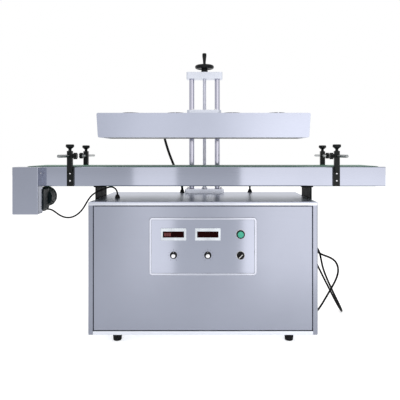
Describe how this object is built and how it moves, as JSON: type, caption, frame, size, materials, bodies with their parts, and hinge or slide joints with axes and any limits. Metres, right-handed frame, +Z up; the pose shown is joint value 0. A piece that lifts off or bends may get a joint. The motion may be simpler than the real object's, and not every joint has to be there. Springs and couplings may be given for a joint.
{
  "type": "induction cap sealer",
  "caption": "Floor-standing induction cap sealer: cabinet with a control plate, belt conveyor with guide posts, and a fan-cooled sealing head that a handwheel lifts on round columns.",
  "frame": {"origin": "on the floor, under the middle of the belt and of the cabinet's width", "axes": "+Z up, +X along the belt to its tail end, +Y to the back, where the columns stand"},
  "size_m": [1.5319, 0.672, 1.2243],
  "materials": {
    "cabinet_steel": "brushed sheet",
    "conveyor_steel": "brushed sheet",
    "head_steel": "brushed sheet",
    "bed_steel": "brushed sheet",
    "plate": "satin",
    "cast_plate": "machined",
    "column": "ground and plated",
    "screw": "turned",
    "rod": "ground",
    "bushing": "turned",
    "wire": "plated wire",
    "roller": "turned",
    "foot_rubber": "moulded",
    "belt": "smooth",
    "timing_belt": "moulded",
    "cord": "smooth sheath",
    "plug": "moulded",
    "gland": "moulded",
    "leg": "powder coat",
    "guide_plastic": "moulded",
    "wheel_plastic": "moulded",
    "gear_case": "painted casting",
    "motor_case": "painted casting",
    "meter_case": "moulded",
    "meter_lens": "dark lens",
    "switch_body": "moulded",
    "button_green": "moulded lens",
    "electronics": "boxed",
    "sole": "milled sheet",
    "coil": "potted",
    "fan": "moulded"
  },
  "bodies": {
    "base": {"floor_pan": "cabinet_steel", "cabinet_shell": "cabinet_steel", "top_cover": "cabinet_steel", "front_panel": "cabinet_steel", "front_rail": "conveyor_steel", "rear_rail": "conveyor_steel", "motor_plate": "conveyor_steel", "drive_cover": "conveyor_steel", "slider_bed": "bed_steel", "control_plate": "plate", "column_base": "cast_plate", "top_plate": "cast_plate", "columns": "column", "rubber_feet": "foot_rubber", "conveyor_belt": "belt", "drive_belt": "timing_belt", "motor_cord": "cord", "sensor_cord": "cord", "mains_cord": "cord", "mains_coil": "cord", "head_cord": "cord", "mains_plug": "plug", "cable_glands": "gland", "conveyor_legs": "leg", "guide_posts": "guide_plastic", "gear_head": "gear_case", "drive_motor": "motor_case", "panel_meters": "meter_case", "meter_windows": "meter_lens", "control_sockets": "switch_body", "power_module": "electronics"},
    "wheel": {"lead_screw": "screw", "handwheel": "wheel_plastic"},
    "grip": {"wheel_grip": "wheel_plastic"},
    "head": {"head_housing": "head_steel", "sole_plate": "sole", "coil_pack": "coil", "carriage": "cast_plate", "carriage_bushings": "bushing", "fan_frames": "fan", "fan_guards": "wire"},
    "fan_1": {"fan_rotor_1": "fan"},
    "fan_2": {"fan_rotor_2": "fan"},
    "fan_3": {"fan_rotor_3": "fan"},
    "fan_4": {"fan_rotor_4": "fan"},
    "start": {"start_button": "button_green"},
    "selector": {"selector_knob": "switch_body"},
    "dial_left": {"left_dial": "switch_body"},
    "dial_right": {"right_dial": "switch_body"},
    "roller_drive": {"drive_roller": "roller"},
    "roller_tail": {"tail_roller": "roller"},
    "pulley": {"motor_pulley": "roller"},
    "rod_1": {"guide_rod_1": "rod"},
    "rod_2": {"guide_rod_2": "rod"},
    "rod_3": {"guide_rod_3": "rod"},
    "rod_4": {"guide_rod_4": "rod"},
    "clamp_1": {"clamp_knob_1": "guide_plastic"},
    "clamp_2": {"clamp_knob_2": "guide_plastic"},
    "clamp_3": {"clamp_knob_3": "guide_plastic"},
    "clamp_4": {"clamp_knob_4": "guide_plastic"}
  },
  "joints": [
    {"name": "handwheel_turn", "type": "hinge", "parent": "base", "child": "wheel", "pos_m": [0, 0.206, 1.16], "axis": [0, 0, -1], "range_deg": [-8110, 12610]},
    {"name": "grip_spin", "type": "hinge", "parent": "wheel", "child": "grip", "pos_m": [0, 0.17, 1.19], "axis": [0, 0, 1], "continuous": true},
    {"name": "head_lift", "type": "slide", "parent": "base", "child": "head", "axis": [0, 0, 1], "range_m": [-0.09, 0.14], "deforming": ["head_cord"]},
    {"name": "fan_1_spin", "type": "hinge", "parent": "head", "child": "fan_1", "pos_m": [-0.323, 0.02, 0.907], "axis": [0, 0, 1], "continuous": true},
    {"name": "fan_2_spin", "type": "hinge", "parent": "head", "child": "fan_2", "pos_m": [-0.124, 0.02, 0.907], "axis": [0, 0, 1], "continuous": true},
    {"name": "fan_3_spin", "type": "hinge", "parent": "head", "child": "fan_3", "pos_m": [0.124, 0.02, 0.907], "axis": [0, 0, 1], "continuous": true},
    {"name": "fan_4_spin", "type": "hinge", "parent": "head", "child": "fan_4", "pos_m": [0.323, 0.02, 0.907], "axis": [0, 0, 1], "continuous": true},
    {"name": "start_press", "type": "slide", "parent": "base", "child": "start", "axis": [0, 1, 0], "range_m": [0, 0.004], "stiffness_N_per_m": 500},
    {"name": "selector_turn", "type": "hinge", "parent": "base", "child": "selector", "pos_m": [0.147, -0.228, 0.352], "axis": [0, -1, 0], "range_deg": [0, 90]},
    {"name": "left_dial_turn", "type": "hinge", "parent": "base", "child": "dial_left", "pos_m": [-0.115, -0.228, 0.352], "axis": [0, 1, 0], "range_deg": [-150, 150]},
    {"name": "right_dial_turn", "type": "hinge", "parent": "base", "child": "dial_right", "pos_m": [0.019, -0.228, 0.352], "axis": [0, 1, 0], "range_deg": [-150, 150]},
    {"name": "drive_roller_spin", "type": "hinge", "parent": "base", "child": "roller_drive", "pos_m": [-0.7225, 0, 0.6545], "axis": [0, 1, 0], "continuous": true},
    {"name": "tail_roller_spin", "type": "hinge", "parent": "base", "child": "roller_tail", "pos_m": [0.7175, 0, 0.6545], "axis": [0, 1, 0], "continuous": true},
    {"name": "motor_pulley_spin", "type": "hinge", "parent": "base", "child": "pulley", "pos_m": [-0.7025, -0.14, 0.559], "axis": [0, 1, 0], "continuous": true},
    {"name": "guide_rod_1_slide", "type": "slide", "parent": "base", "child": "rod_1", "axis": [0, 1, 0], "range_m": [-0.02, 0.07]},
    {"name": "guide_rod_2_slide", "type": "slide", "parent": "base", "child": "rod_2", "axis": [0, 1, 0], "range_m": [-0.02, 0.07]},
    {"name": "guide_rod_3_slide", "type": "slide", "parent": "base", "child": "rod_3", "axis": [0, -1, 0], "range_m": [-0.02, 0.07]},
    {"name": "guide_rod_4_slide", "type": "slide", "parent": "base", "child": "rod_4", "axis": [0, -1, 0], "range_m": [-0.02, 0.07]},
    {"name": "clamp_knob_1_turn", "type": "hinge", "parent": "base", "child": "clamp_1", "pos_m": [-0.55, -0.126, 0.77], "axis": [0, 0, 1], "range_deg": [0, 360]},
    {"name": "clamp_knob_2_turn", "type": "hinge", "parent": "base", "child": "clamp_2", "pos_m": [0.55, -0.126, 0.77], "axis": [0, 0, 1], "range_deg": [0, 360]},
    {"name": "clamp_knob_3_turn", "type": "hinge", "parent": "base", "child": "clamp_3", "pos_m": [-0.55, 0.126, 0.77], "axis": [0, 0, 1], "range_deg": [0, 360]},
    {"name": "clamp_knob_4_turn", "type": "hinge", "parent": "base", "child": "clamp_4", "pos_m": [0.55, 0.126, 0.77], "axis": [0, 0, 1], "range_deg": [0, 360]}
  ],
  "couplings": [
    {"joint": "handwheel_turn", "follows": "head_lift", "rad_per_m": 1570.8},
    {"joint": "tail_roller_spin", "follows": "drive_roller_spin", "ratio": 1},
    {"joint": "motor_pulley_spin", "follows": "drive_roller_spin", "ratio": 1.5}
  ]
}
